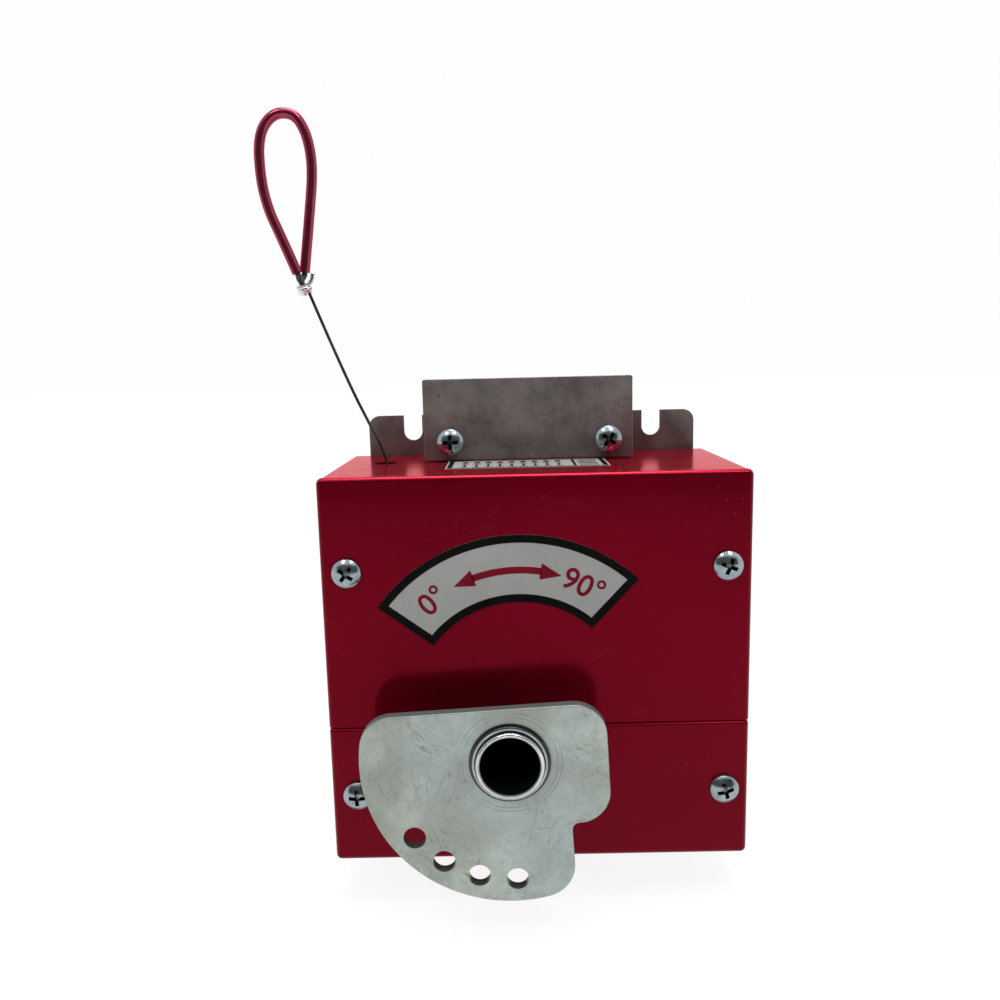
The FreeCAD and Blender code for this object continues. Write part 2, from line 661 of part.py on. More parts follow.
def coil_spring(radius, wire, rear, front, turns, start, x="0", z="0"):
    """A helical coil along Y as one swept solid, from its rear end to its front end."""
    length = worth("(%s) - (%s)" % (rear, front))
    helix = Part.makeHelix(length / float(turns), length, worth(radius))
    section = Part.Wire(Part.makeCircle(worth(wire), Vector(worth(radius), 0, 0),
                                        Vector(0, 1, 0)))
    shell = Part.Wire(helix.Edges).makePipeShell([section], True, True)
    holder = doc.addObject("Part::Feature", "coil")
    holder.Shape = shell
    holder.Placement = Placement(
        Vector(worth(x), worth(rear), worth(z)),
        Rotation(Vector(1, 0, 0), 90) * Rotation(Vector(0, 0, 1), start))
    return holder


def make_return_spring():
    coil = coil_spring("spring_coil_radius", "spring_wire", "spring_rear", "spring_front",
                       SIZES["spring_turns"], 0.0)
    return node(coil, "return_spring")


# ---- latch lever ----

def make_latch():
    body = body_named("lever")
    plane = "lever_rear"
    wire_arm = sketch_at(body, plane)
    draw_polygon(wire_arm, (("wire_x - 3.2", "wire_arm_z - lever_arm + 0.5"),
                            ("pivot_x", "pivot_z - lever_hub"),
                            ("pivot_x", "pivot_z + lever_hub"),
                            ("wire_x - 3.2", "wire_arm_z + lever_arm")))
    pad(body, wire_arm, "lever_steel")
    nose = sketch_at(body, plane)
    draw_polygon(nose, (("nose_tip_x", "nose_tip_z"), ("nose_tip_x + nose_width", "nose_tip_z + 0.3"),
                        ("pivot_x + 1", "pivot_z - 3.8"), ("pivot_x - 3", "pivot_z"),
                        ("nose_heel_x", "nose_heel_z")))
    pad(body, nose, "lever_steel")
    right_arm = sketch_at(body, plane)
    draw_polygon(right_arm, (("pivot_x", "pivot_z - lever_hub"),
                             ("solenoid_arm_x + 3", "solenoid_arm_z - 2.6"),
                             ("solenoid_arm_x + 3", "solenoid_arm_z + 3"),
                             ("pivot_x", "pivot_z + lever_hub")))
    pad(body, right_arm, "lever_steel")
    hub = sketch_at(body, plane)
    draw_circle(hub, "lever_hub", "pivot_x", "pivot_z")
    pad(body, hub, "lever_steel")
    tab = sketch_at(body, "web_front - 0.6")
    draw_box(tab, "wire_x - 3.2", "wire_x + 3.2", "wire_arm_z - 1", "wire_arm_z + 1")
    pad(body, tab, "web_front - 0.6 - lever_rear")
    bore = sketch_at(body, plane)
    draw_circle(bore, "pivot_radius + 0.05", "pivot_x", "pivot_z")
    pocket(body, bore)
    wire_way = sketch_at(body, "wire_arm_z", "XY_Plane")
    draw_circle(wire_way, "1", "wire_x", "wire_y")
    pocket(body, wire_way, "12")
    node(body, "latch_lever")
    pin = fuse(rod("pivot_radius", "web_front + chassis_steel", "-38", "pivot_x", "pivot_z"),
               rod("3.2", "web_front", "lever_rear + 0.2", "pivot_x", "pivot_z"))
    node(pin, "latch_pivot_pin")
    node(ring("3.6", "pivot_radius", "-37", "-38", "pivot_x", "pivot_z"), "pivot_clip")
    node(coil_spring("2.9", "0.4", "-30.6", "-35.6", 5.0, 0.0, "pivot_x", "pivot_z"),
         "latch_spring")


# ---- pull wire ----

WIRE_ROUTE = ((-35.2, -25.0, 26.3), (-35.2, -25.0, 73.6), (-37.0, -25.0, 78.6),
              (-46.5, -25.0, 99.0), (-56.1, -25.0, 124.2))
LOOP_ROUTE = ((-59.3, -26.3, 130.5), (-66.3, -25.9, 147.6), (-68.2, -25.6, 156.4),
              (-68.2, -25.3, 168.6), (-63.8, -25.1, 174.5), (-57.9, -24.9, 174.5),
              (-54.9, -24.7, 170.2), (-53.5, -24.5, 163.8), (-53.5, -24.3, 157.6),
              (-56.9, -23.7, 130.8))


def tube_along(route, radius, name):
    """A round tube along straight runs joined by tangent arcs."""
    points = [Vector(*point) for point in route]
    edges = []
    here = points[0]
    radii = []
    for before, corner, after in zip(points, points[1:], points[2:]):
        arriving, leaving = (corner - before), (after - corner)
        reach = 0.45 * min(arriving.Length, leaving.Length)
        turn = arriving.getAngle(leaving)
        radii.append(reach / math.tan(turn / 2))
        arriving.normalize()
        leaving.normalize()
        enter, leave = corner - arriving * reach, corner + leaving * reach
        chord = radii[-1] * (1 / math.cos(turn / 2) - 1)
        inward = (leaving - arriving)
        inward.normalize()
        edges.append(Part.LineSegment(here, enter).toShape())
        edges.append(Part.Arc(enter, corner + inward * chord, leave).toShape())
        here = leave
    edges.append(Part.LineSegment(here, points[-1]).toShape())
    path = Part.Wire(edges)
    start = points[1] - points[0]
    section = Part.Wire(Part.makeCircle(worth(radius), points[0], start))
    tube = path.makePipeShell([section], True, False)
    share = tube.Volume / (math.pi * worth(radius) ** 2 * path.Length)
    print(name, "radii", ["%.1f" % value for value in radii],
          "length %.1f" % path.Length, "volume share %.4f" % share)
    holder = doc.addObject("Part::Feature", name)
    holder.Shape = tube
    return node(holder, name)


def make_pull_wire():
    tube_along(WIRE_ROUTE, "wire_radius", "pull_wire")
    tube_along(LOOP_ROUTE, "sleeve_radius", "loop_sleeve")
    node(post("ferrule_radius", "ferrule_low", "ferrule_high", "wire_x", "wire_y"),
         "wire_ferrule")
    tip = Vector(*WIRE_ROUTE[-1])
    along = tip - Vector(*WIRE_ROUTE[-2])
    knot = doc.addObject("Part::Cylinder", "knot")
    bind(knot, Radius="knot_radius", Height="5.2")
    knot.Placement = Placement(tip, Rotation(Vector(0, 0, 1), along))
    node(knot, "wire_knot")


# ---- solenoid, limit switches, terminals ----

def make_solenoid():
    left, right = "solenoid_x - solenoid_half", "solenoid_x + solenoid_half"
    steel = "solenoid_steel"
    front = "solenoid_y - 11"
    frame = cut(block((left, right), (front, "web_front"), ("solenoid_low", "solenoid_high")),
                block((left + " + " + steel, right + " - " + steel),
                      (front + " - 1", "web_front - " + steel),
                      ("solenoid_low + " + steel, "solenoid_high - " + steel)),
                post("plunger_bore", "solenoid_low - 1", "solenoid_low + 5", "solenoid_x",
                     "solenoid_y"),
                *[rod("small_shank_radius + 0.15", "-20", "-30", *place)
                  for place in SOLENOID_SCREWS])
    node(frame, "solenoid_frame")
    low, high = "solenoid_low + solenoid_steel + 0.3", "solenoid_high - solenoid_steel - 0.3"
    flanges = [post("coil_radius", edge[0], edge[1], "solenoid_x", "solenoid_y")
               for edge in ((low, low + " + 1.4"), (high + " - 1.4", high))]
    winding = post("coil_radius - 0.9", low, high, "solenoid_x", "solenoid_y")
    coil = cut(fuse(winding, *flanges),
               post("plunger_bore", low + " - 1", high + " - 2", "solenoid_x", "solenoid_y"))
    node(coil, "solenoid_coil")
    core = post("plunger_radius", "foot_high + 9", "solenoid_high - 10", "solenoid_x",
                "solenoid_y")
    rod_low = post("push_rod_radius", "foot_high - 0.5", "foot_high + 9.5", "solenoid_x",
                   "solenoid_y")
    node(fuse(core, rod_low), "solenoid_plunger")
    foot = cut(block(("solenoid_x - 1.8", "solenoid_x + 1.8"), ("solenoid_y - 3", "lever_rear - 0.2"),
                     ("foot_low", "foot_high")),
               post("push_rod_radius", "foot_high - 0.5", "foot_high + 1", "solenoid_x",
                    "solenoid_y"))
    node(foot, "plunger_foot")


def switch_body(x_near, side, low):
    """A micro switch with its lever side at x_near and its terminals side away from the disc."""
    far = "%s + %d * switch_wide" % (x_near, side)
    across = (x_near, far) if side > 0 else (far, x_near)
    case = rounded(block(across, ("web_front - switch_depth", "web_front"),
                         (low, low + " + switch_tall")), "0.5", along_y)
    holes = [rod("small_shank_radius + 0.1", "-20", "-40", *place) for place in SWITCH_SCREWS]
    return cut(case, *holes)


def switch_lever(x_near, side, hinge_height, reach, swung):
    """A thin lever hinged at one end; swung turns it about its hinge away from the case."""
    plate_near = "%s - %d * switch_lever_gap" % (x_near, side)
    plate_far = "%s - %d * switch_lever_steel" % (plate_near, side)
    across = (plate_far, plate_near) if side > 0 else (plate_near, plate_far)
    front, rear = ("disc_rear - disc_steel / 2 - switch_lever_width / 2",
                   "disc_rear - disc_steel / 2 + switch_lever_width / 2")
    up = (hinge_height, "%s + %s" % (hinge_height, reach))
    if reach.startswith("-"):
        up = (up[1], up[0])
    eye = rod("switch_pin_radius + 0.5", rear, front, plate_near, hinge_height)
    lever = fuse(block(across, (front, rear), up), eye)
    doc.recompute()
    holder = doc.addObject("Part::Feature", "lever")
    centre = Vector(worth(plate_near), 0, worth(hinge_height))
    holder.Shape = lever.Shape.rotated(centre, Vector(0, 1, 0), swung)
    return holder


def make_switches():
    node(switch_body("reset_switch_x", 1, "reset_switch_low"), "reset_switch")
    node(switch_body("fired_switch_x", -1, "fired_switch_low"), "fired_switch")
    node(switch_lever("reset_switch_x", 1, "reset_switch_low + 2", "switch_lever_length", 0.0),
         "reset_switch_lever")
    node(switch_lever("fired_switch_x", -1, "fired_switch_low + 24", "-switch_lever_length",
                      -SIZES["switch_lever_swing"]), "fired_switch_lever")
    blades = []
    for start, low, length in (("reset_switch_x + switch_wide", "reset_switch_low", "6"),
                               ("fired_switch_x - switch_wide - 3", "fired_switch_low", "3")):
        for number in range(3):
            foot = "%s + %d * 9 + 4" % (low, number)
            blades.append(block((start, "%s + %s" % (start, length)),
                                ("web_front - 6.8", "web_front - 3.6"), (foot, foot + " + 0.8")))
    node(group(*blades), "switch_terminals")


def make_terminal_block():
    count = 5
    pitch = "(block_right - block_left) / %d" % count
    middle_z = "(block_low + block_high) / 2"
    places = ["block_left + (%d + 0.5) * %s" % (number, pitch) for number in range(count)]
    holes = [rod("2.1", "block_front + 5", "block_front - 1", place, middle_z)
             for place in places]
    entries = [post("1.6", "block_low - 1", "block_low + 5", place, "block_front + 8")
               for place in places]
    node(cut(block(("block_left", "block_right"), ("block_front", "web_front"),
                   ("block_low", "block_high")), *holes, *entries), "terminal_block")
    screws = []
    for place in places:
        head = rod("2", "block_front + 5", "block_front + 1", place, middle_z)
        slot = block((place + " - 3", place + " + 3"), ("block_front", "block_front + 2"),
                     (middle_z + " - 0.3", middle_z + " + 0.3"))
        screws.append(cut(head, slot))
    node(group(*screws), "terminal_screws")
    node(cut(post("grommet_radius", "grommet_low", "grommet_high", "grommet_x", "grommet_y"),
             cut(post("grommet_radius + 1", "box_low - 0.1", "box_low + cover_steel + 0.1",
                      "grommet_x", "grommet_y"),
                 post("grommet_neck", "box_low - 1", "box_low + 3", "grommet_x", "grommet_y")),
             post("grommet_bore", "grommet_low - 1", "grommet_high + 1", "grommet_x",
                  "grommet_y")), "cable_grommet")


def make_screws():
    large = screw("shank_length")
    rear_face = "web_front + chassis_steel"
    backwards = (0.0, 0.0, 1.0, 180.0)
    placed_copies(large, "cover_screws", [(x, "box_front", z) for x, z in PILLARS])
    placed_copies(large, "bracket_screws",
                  [(x, "web_front - bracket_steel", "bracket_screw_height")
                   for x in ("bracket_screw_left", "bracket_screw_right")])
    placed_copies(large, "pillar_screws", [(x, rear_face, z) for x, z in PILLARS], backwards)
    placed_copies(large, "bridge_front_screws", [(x, "bridge_front", z) for x, z in SPACERS])
    placed_copies(large, "bridge_rear_screws", [(x, rear_face, z) for x, z in SPACERS],
                  backwards)
    small_head = ("small_head_radius", "small_head_height")
    long_small = screw("switch_depth + 1.5", small_head, "small_shank_radius")
    placed_copies(long_small, "switch_screws",
                  [(x, "web_front - switch_depth", z) for x, z in SWITCH_SCREWS])
    short_small = screw("solenoid_steel + 1.4", small_head, "small_shank_radius")
    placed_copies(short_small, "solenoid_screws",
                  [(x, rear_face, z) for x, z in SOLENOID_SCREWS], backwards)


make_chassis()
make_supports()
make_bracket_plate()
make_bridge_plate()
make_bearings()
make_covers()
make_labels()
make_shaft()
make_collar()
make_sector_plate()
make_latch_disc()
make_return_spring()
make_latch()
make_pull_wire()
make_solenoid()
make_switches()
make_terminal_block()
make_screws()
doc.recompute()

for thing in doc.Objects:
    if "Invalid" in thing.State or "Error" in thing.State:
        raise RuntimeError("failed object: %s %s" % (thing.Name, thing.Label))
os.makedirs("parts", exist_ok=True)
for part in NODES:
    shape = part.Shape
    if shape.isNull() or not shape.isValid() or not shape.Solids:
        raise RuntimeError("bad shape: " + part.Label)
    print("%-20s %2d solids %9.1f mm3" % (part.Label, len(shape.Solids), shape.Volume))
for part in NODES:
    part.Shape.exportStep("parts/%s.step" % part.Label)
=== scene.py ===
import json
import math

import bmesh
import bpy
from mathutils import Matrix, Vector


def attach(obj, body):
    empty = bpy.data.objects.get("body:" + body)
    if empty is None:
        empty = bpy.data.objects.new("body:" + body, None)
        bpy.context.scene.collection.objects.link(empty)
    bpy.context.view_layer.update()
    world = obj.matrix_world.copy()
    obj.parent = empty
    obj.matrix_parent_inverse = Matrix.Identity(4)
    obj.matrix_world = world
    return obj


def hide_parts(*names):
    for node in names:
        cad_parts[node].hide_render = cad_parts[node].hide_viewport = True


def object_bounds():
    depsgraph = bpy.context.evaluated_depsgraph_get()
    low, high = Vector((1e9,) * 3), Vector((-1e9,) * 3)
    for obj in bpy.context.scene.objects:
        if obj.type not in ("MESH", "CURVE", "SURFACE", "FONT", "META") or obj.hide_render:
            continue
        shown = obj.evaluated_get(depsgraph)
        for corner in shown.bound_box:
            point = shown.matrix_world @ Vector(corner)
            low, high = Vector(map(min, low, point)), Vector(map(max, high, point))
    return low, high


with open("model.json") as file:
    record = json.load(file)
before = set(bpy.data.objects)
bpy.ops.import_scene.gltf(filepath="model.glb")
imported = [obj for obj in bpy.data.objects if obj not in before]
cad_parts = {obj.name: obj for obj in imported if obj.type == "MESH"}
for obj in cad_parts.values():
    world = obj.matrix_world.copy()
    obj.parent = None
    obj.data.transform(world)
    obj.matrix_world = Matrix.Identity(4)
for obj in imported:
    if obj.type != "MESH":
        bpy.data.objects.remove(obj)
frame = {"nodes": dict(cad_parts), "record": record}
CAD_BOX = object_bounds()
NODES = frame["nodes"]
MM = 0.001


# ---- camera ----

def make_camera():
    """Look along +Y from just above the box's top, turned by three angles in radians."""
    pitch, yaw, roll = 0.15801, -0.00844, 0.02353
    forward = Vector((math.sin(yaw) * math.cos(pitch), math.cos(yaw) * math.cos(pitch),
                      -math.sin(pitch)))
    level = Vector((math.cos(yaw), -math.sin(yaw), 0.0))
    down = forward.cross(level)
    right = level * math.cos(roll) + down * math.sin(roll)
    low = down * math.cos(roll) - level * math.sin(roll)
    data = bpy.data.cameras.new("camera")
    data.sensor_width, data.lens = 36.0, 31.17
    data.clip_start, data.clip_end = 0.005, 50.0
    camera = bpy.data.objects.new("camera", data)
    bpy.context.scene.collection.objects.link(camera)
    camera.matrix_world = (Matrix.Translation((0.0008, -0.2861, 0.1029))
                           @ Matrix((right, -low, -forward)).transposed().to_4x4())
    bpy.context.scene.camera = camera


# ---- shapes ----

def link(obj):
    bpy.context.scene.collection.objects.link(obj)
    return obj


def smooth_curve(name, points, radius, sides=8):
    """A round line along one NURBS spline through the route's points, in metres."""
    data = bpy.data.curves.new(name, "CURVE")
    data.dimensions = "3D"
    spline = data.splines.new("NURBS")
    spline.points.add(len(points) - 1)
    for point, place in zip(spline.points, points):
        point.co = (*place, 1.0)
    spline.order_u = 3
    spline.use_endpoint_u = True
    spline.resolution_u = 16
    data.bevel_depth = radius
    data.bevel_resolution = sides
    data.use_fill_caps = True
    return link(bpy.data.objects.new(name, data))


def centreline(curve):
    """The points of a curve object's own line."""
    spline = curve.data.splines[0]
    depth, coarse = curve.data.bevel_depth, spline.resolution_u
    curve.data.bevel_depth, spline.resolution_u = 0.0, 60
    bpy.context.view_layer.update()
    mesh = bpy.data.meshes.new_from_object(curve)
    curve.data.bevel_depth, spline.resolution_u = depth, coarse
    points = [v.co.copy() for v in mesh.vertices]
    bpy.data.meshes.remove(mesh)
    return points


def centreline_of(points):
    """Points along a smooth line near a few given ones."""
    helper = smooth_curve("helper", [tuple(p) for p in points], 0.0, 1)
    line = centreline(helper)
    data = helper.data
    bpy.data.objects.remove(helper)
    bpy.data.curves.remove(data)
    return line


def mesh_from(name, verts, faces, smooth=True):
    mesh = bpy.data.meshes.new(name)
    mesh.from_pydata([tuple(v) for v in verts], [], faces)
    mesh.validate()
    mesh.update()
    mesh.polygons.foreach_set("use_smooth", [smooth] * len(mesh.polygons))
    return link(bpy.data.objects.new(name, mesh))


def tube_mesh(name, lines, radii, sides=10):
    """Round solid tubes along lists of points, joined in one mesh, with domed ends."""
    verts, faces = [], []
    for line, radius in zip(lines, radii):
        points = [Vector(p) for p in line]
        ahead = (points[1] - points[0]).normalized()
        across = ahead.orthogonal().normalized()
        rings = []
        for number, point in enumerate(points):
            before = points[max(number - 1, 0)]
            after = points[min(number + 1, len(points) - 1)]
            now = (after - before).normalized()
            across = (across - now * across.dot(now)).normalized()
            side = now.cross(across)
            rings.append((point, across.copy(), side, now))
        first, last = rings[0], rings[-1]
        rings = ([(first[0] - first[3] * radius * 0.5, *first[1:])] + rings
                 + [(last[0] + last[3] * radius * 0.5, *last[1:])])
        start = len(verts)
        for number, (point, u, v, _) in enumerate(rings):
            size = radius * (0.62 if number in (0, len(rings) - 1) else 1.0)
            for step in range(sides):
                turn = 2 * math.pi * step / sides
                verts.append(point + (u * math.cos(turn) + v * math.sin(turn)) * size)
        for row in range(len(rings) - 1):
            for step in range(sides):
                a = start + row * sides + step
                b = start + row * sides + (step + 1) % sides
                faces.append((a, b, b + sides, a + sides))
        faces.append(tuple(start + step for step in reversed(range(sides))))
        top = start + (len(rings) - 1) * sides
        faces.append(tuple(top + step for step in range(sides)))
    return mesh_from(name, verts, faces)


def helix_about(points, radius, pitch, phase):
    """A helix that winds round a line of points."""
    ahead = (points[1] - points[0]).normalized()
    across = ahead.orthogonal().normalized()
    walked, wound = 0.0, []
    for number, point in enumerate(points):
        before, after = points[max(number - 1, 0)], points[min(number + 1, len(points) - 1)]
        now = (after - before).normalized()
        across = (across - now * across.dot(now)).normalized()
        side = now.cross(across)
        if number:
            walked += (point - points[number - 1]).length
        turn = phase + 2 * math.pi * walked / pitch
        wound.append(point + (across * math.cos(turn) + side * math.sin(turn)) * radius)
    return wound


def flat_shape(name, outline, level, thickness, plane):
    """A thin printed shape: an outline in millimetres raised from a level along a face's normal.
    On the "front" plane the outline is (x, z) and it rises to -Y, and on "top" (x, y) and +Z."""
    count = len(outline)

    def place(u, v, rise):
        if plane == "front":
            return (u * MM, (level - rise) * MM, v * MM)
        return (u * MM, v * MM, (level + rise) * MM)
    verts = [place(u, v, 0.0) for u, v in outline] + [place(u, v, thickness) for u, v in outline]
    faces = [tuple(range(count)), tuple(range(2 * count - 1, count - 1, -1))]
    for step in range(count):
        after = (step + 1) % count
        faces.append((step, after, after + count, step + count))
    piece = mesh_from(name, verts, faces, smooth=False)
    tidy_normals(piece)
    return piece


def tidy_normals(piece):
    work = bmesh.new()
    work.from_mesh(piece.data)
    bmesh.ops.triangulate(work, faces=[f for f in work.faces if len(f.verts) > 4])
    bmesh.ops.recalc_face_normals(work, faces=work.faces)
    work.to_mesh(piece.data)
    work.free()


def flat_ring(name, outer, inner, level, thickness):
    """A thin printed frame between two outlines with as many points each, on the front plane."""
    count = len(outer)
    verts = []
    for rise in (0.0, thickness):
        for outline in (outer, inner):
            verts += [(u * MM, (level - rise) * MM, v * MM) for u, v in outline]
    faces = []
    for step in range(count):
        after = (step + 1) % count
        faces.append((2 * count + step, 2 * count + after, 3 * count + after, 3 * count + step))
        faces.append((step, after, count + after, count + step))
        faces.append((step, after, 2 * count + after, 2 * count + step))
        faces.append((count + step, count + after, 3 * count + after, 3 * count + step))
    piece = mesh_from(name, verts, faces, smooth=False)
    tidy_normals(piece)
    return piece


def arc_point(centre, radius, degrees):
    turn = math.radians(degrees)
    return (centre[0] + radius * math.cos(turn), centre[1] + radius * math.sin(turn))


def sector_outline(centre, inner, outer, inset, start, end, steps=48):
    """Outline of a ring sector whose straight ends are moved in by a distance."""
    points = []
    for radius, sign in ((outer, 1), (inner, -1)):
        trim = math.degrees(math.asin(inset / radius))
        low, high = start + trim, end - trim
        row = [arc_point(centre, radius, low + (high - low) * n / steps) for n in range(steps + 1)]
        points += row if sign > 0 else row[::-1]
    return points


# ---- materials ----

class Paint:
    """A node material: one Principled shader and the patterns that feed it, in row-frame metres."""

    def __init__(self, name, **values):
        self.material = bpy.data.materials.new(name)
        self.material.use_nodes = True
        self.tree = self.material.node_tree
        self.tree.nodes.clear()
        output = self.tree.nodes.new("ShaderNodeOutputMaterial")
        self.shader = self.tree.nodes.new("ShaderNodeBsdfPrincipled")
        self.tree.links.new(self.shader.outputs[0], output.inputs["Surface"])
        for label, value in values.items():
            socket = self.shader.inputs[label.replace("_", " ")]
            socket.default_value = (*value, 1.0) if socket.type == "RGBA" else value
        self.place = self.tree.nodes.new("ShaderNodeTexCoord").outputs["Object"]
        self.bumps = None

    def add(self, kind, sources=None, **settings):
        made = self.tree.nodes.new(kind)
        for label, value in settings.items():
            setattr(made, label, value)
        for label, source in (sources or {}).items():
            socket = made.inputs[label]
            if isinstance(source, bpy.types.NodeSocket):
                self.tree.links.new(source, socket)
            else:
                socket.default_value = source
        return made

    def stretched(self, x=1.0, y=1.0, z=1.0, turn=(0.0, 0.0, 0.0), shift=(0.0, 0.0, 0.0)):
        return self.add("ShaderNodeMapping", {"Vector": self.place, "Scale": (x, y, z),
                                              "Rotation": turn, "Location": shift}).outputs[0]

    def noise(self, scale, detail=3.0, roughness=0.55, place=None, distortion=0.0):
        return self.add("ShaderNodeTexNoise", {
            "Vector": place or self.place, "Scale": scale, "Detail": detail,
            "Roughness": roughness, "Distortion": distortion}).outputs["Fac"]

    def cells(self, scale):
        return self.add("ShaderNodeTexVoronoi", {"Vector": self.place,
                                                 "Scale": scale}).outputs["Distance"]

    def range(self, source, low, high, out_low=0.0, out_high=1.0):
        return self.add("ShaderNodeMapRange", {
            "Value": source, "From Min": low, "From Max": high,
            "To Min": out_low, "To Max": out_high}).outputs[0]

    def maths(self, operation, a, b=0.0):
        return self.add("ShaderNodeMath", {0: a, 1: b}, operation=operation).outputs[0]

    def mix(self, factor, a, b):
        made = self.add("ShaderNodeMix", data_type="RGBA")
        for socket, source in zip((made.inputs[0], made.inputs[6], made.inputs[7]),
                                  (factor, a, b)):
            if isinstance(source, bpy.types.NodeSocket):
                self.tree.links.new(source, socket)
            else:
                socket.default_value = (*source, 1.0) if isinstance(source, tuple) else source
        return made.outputs[2]

    def scratches(self, turn, scale=55.0, thin=0.035, seed=0.0):
        """Fine broken lines that run one way: 1 on a line, 0 off it."""
        turned = self.stretched(turn=(0.0, turn, 0.0), shift=(seed, seed, seed))
        place = self.add("ShaderNodeMapping", {"Vector": turned, "Scale": (1.0, 1.0, 6.0)})
        place = place.outputs[0]
        lines = self.noise(scale, 1.0, 0.4, place, 0.6)
        near = self.maths("ABSOLUTE", self.maths("SUBTRACT", lines, 0.5))
        line = self.range(near, 0.0, thin, 1.0, 0.0)
        broken = self.range(self.noise(70.0, 2.0, 0.5, self.stretched(shift=(seed, 1.0, seed))),
                            0.56, 0.66)
        return self.maths("MULTIPLY", line, broken)

    def axis_distance(self):
        """Distance from the output shaft's axis, in metres."""
        parts = self.add("ShaderNodeSeparateXYZ", {"Vector": self.place}).outputs
        squares = [self.maths("MULTIPLY", part, part) for part in (parts[0], parts[2])]
        return self.maths("SQRT", self.maths("ADD", *squares))

    def normal_along(self, axis):
        """The surface normal's share along one axis, 0 for X to 2 for Z."""
        normal = self.add("ShaderNodeNewGeometry").outputs["Normal"]
        return self.add("ShaderNodeSeparateXYZ", {"Vector": normal}).outputs[axis]

    def front_facing(self):
        """1 on faces square to Y and 0 on the cut edges of a sheet, where the materials paint shade.
        """
        return self.range(self.maths("ABSOLUTE", self.normal_along(1)), 0.55, 0.9)

    def band(self, source, low, high, soft):
        """1 between two values and 0 outside them."""
        rising = self.range(source, low - soft, low)
        return self.maths("MULTIPLY", rising, self.range(source, high, high + soft, 1.0, 0.0))

    def feed(self, label, source):
        self.tree.links.new(source, self.shader.inputs[label])

    def base(self, source):
        self.feed("Base Color", source)

    def rough(self, source):
        self.feed("Roughness", source)

    def bump(self, height, strength, distance=0.0001):
        made = self.add("ShaderNodeBump", {"Height": height, "Strength": strength,
                                           "Distance": distance})
        if self.bumps:
            self.tree.links.new(self.bumps, made.inputs["Normal"])
        self.bumps = made.outputs[0]
        self.tree.links.new(self.bumps, self.shader.inputs["Normal"])


def red_enamel():
    """Glossy crimson enamel with dust and scuffs, and painted light on faces that look up: a
    brighter, partly metallic red there stands in for light from above.
    """
    paint = Paint("red_enamel", Specular_IOR_Level=0.85, Specular_Tint=(1.0, 0.02, 0.07),
                  Coat_Weight=0.02, Coat_Roughness=0.03)
    drift = paint.noise(18.0, 2.0)
    base = paint.mix(paint.range(drift, 0.3, 0.7), (0.083, 0.0005, 0.0050), (0.108, 0.0007, 0.0074))
    specks = paint.range(paint.cells(420.0), 0.035, 0.075, 1.0, 0.0)
    few = paint.range(paint.noise(60.0, 1.0), 0.60, 0.68)
    dust = paint.maths("MULTIPLY", paint.maths("MULTIPLY", specks, few), 0.5)
    scuffs = paint.maths("MULTIPLY", paint.scratches(0.5, 40.0, 0.008, 3.0), 0.10)
    base = paint.mix(dust, base, (0.42, 0.20, 0.22))
    # Painted light: faces that look up get a brighter red and turn partly metallic, standing in for
    # light from above and its sheen.
    painted_top_light = paint.range(paint.normal_along(2), 0.35, 0.85)
    base = paint.mix(painted_top_light, base, (0.36, 0.010, 0.030))
    paint.feed("Metallic", paint.range(painted_top_light, 0.0, 1.0, 0.0, 0.7))
    paint.base(paint.mix(scuffs, base, (0.30, 0.07, 0.09)))
    paint.rough(paint.range(paint.noise(95.0, 3.0), 0.3, 0.7, 0.15, 0.21))
    paint.bump(paint.noise(420.0, 2.0), 0.05, 0.00012)
    return paint.material


def galvanised():
    """Dull grey sheet: clouded, rolled one way, with pits and a few long marks, and painted shade on
    its cut edges.
    """
    paint = Paint("galvanised_sheet", Metallic=0.85)
    rolled = paint.noise(60.0, 3.0, 0.6, paint.stretched(0.35, 1.0, 3.2))
    cloud = paint.noise(80.0, 6.0, 0.7)
    base = paint.mix(paint.range(cloud, 0.36, 0.64), (0.185, 0.168, 0.160), (0.325, 0.305, 0.292))
    base = paint.mix(paint.range(rolled, 0.45, 0.75, 0.0, 0.5), base, (0.26, 0.24, 0.23))
    spots = paint.range(paint.cells(210.0), 0.06, 0.16, 1.0, 0.0)
    few = paint.range(paint.noise(75.0, 2.0), 0.47, 0.58)
    base = paint.mix(paint.maths("MULTIPLY", paint.maths("MULTIPLY", spots, few), 0.75),
                     base, (0.13, 0.11, 0.105))
    marks = paint.maths("MAXIMUM", paint.scratches(0.05, 60.0, 0.012, 5.0),
                        paint.scratches(1.5, 55.0, 0.010, 9.0))
    base = paint.mix(paint.maths("MULTIPLY", marks, 0.5), base, (0.13, 0.115, 0.11))
    # Painted shade: the cut edges of the sheet are darkened to a near-black grey.
    paint.base(paint.mix(paint.front_facing(), (0.12, 0.105, 0.10), base))
    paint.rough(paint.range(cloud, 0.25, 0.75, 0.36, 0.5))
    paint.bump(rolled, 0.12, 0.00008)
    return paint.material


